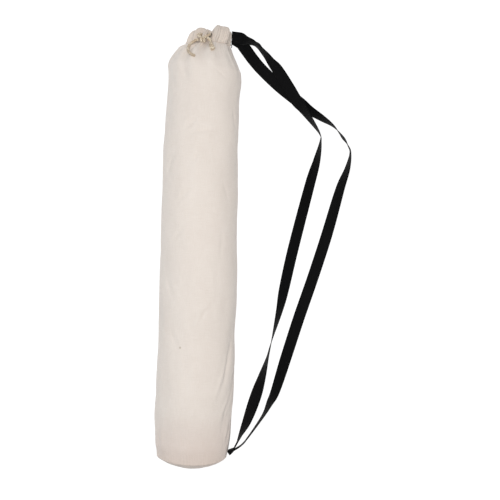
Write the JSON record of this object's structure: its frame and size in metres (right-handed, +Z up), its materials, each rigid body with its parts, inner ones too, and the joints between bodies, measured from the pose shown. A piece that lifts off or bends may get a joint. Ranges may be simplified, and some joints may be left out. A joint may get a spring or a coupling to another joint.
{
  "type": "drawstring mat bag",
  "caption": "Long cotton canvas tube bag for a rolled exercise mat, gathered shut at one end by a knotted drawcord, with a webbing carry strap spread out beside it.",
  "frame": {"origin": "middle of the flat strip of the tube that rests on the floor, half way along the tube", "axes": "+Z up from the floor, +Y along the bag from its base to its gathered neck, +X towards the side where the strap lies"},
  "size_m": [0.3012, 0.6973, 0.1201],
  "materials": {
    "canvas": "undyed cotton canvas, matt plain weave",
    "cord": "round braided cotton cord, matt",
    "webbing": "black woven webbing, slight sheen"
  },
  "bodies": {
    "root": {"body_panel": "canvas", "base_panel": "canvas", "drawcord_casing": "canvas", "drawcord": "cord", "drawcord_knot": "cord", "cord_tail_left": "cord", "cord_tail_right": "cord", "strap_base_tab": "webbing", "strap_outer_strand": "webbing", "strap_inner_strand": "webbing"}
  },
  "joints": []
}
